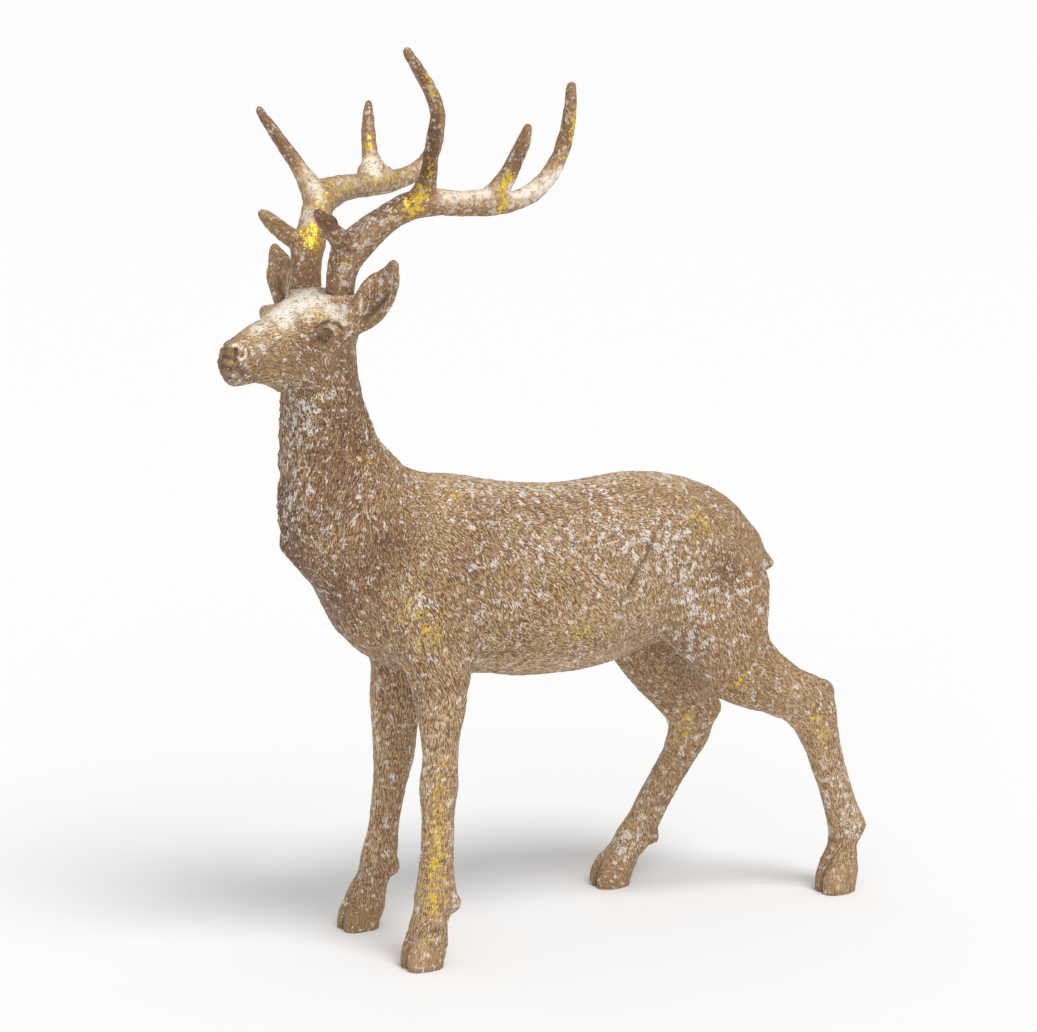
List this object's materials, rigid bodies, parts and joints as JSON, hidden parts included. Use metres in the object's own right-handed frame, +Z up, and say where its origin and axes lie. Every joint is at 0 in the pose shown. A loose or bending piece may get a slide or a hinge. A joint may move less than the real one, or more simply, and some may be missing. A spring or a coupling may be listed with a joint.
{
  "type": "deer figurine",
  "caption": "Standing stag figurine in cast resin with a turned head, branching antlers and one hind leg stepping back.",
  "frame": {"origin": "under the middle of the figure's box, on the surface it stands on", "axes": "+Z up, the stag faces -Y, +X is the stag's left side"},
  "size_m": [0.1504, 0.3648, 0.4521],
  "materials": {
    "body_resin": "cast polyresin painted copper-brown, dry-brushed champagne, with silver and gold glitter flakes",
    "antler_resin": "cast polyresin painted copper-brown, champagne on the ridges, with gold glitter at the forks"
  },
  "bodies": {
    "root": {"body": "body_resin", "antler_left": "antler_resin", "antler_right": "antler_resin"}
  },
  "joints": []
}
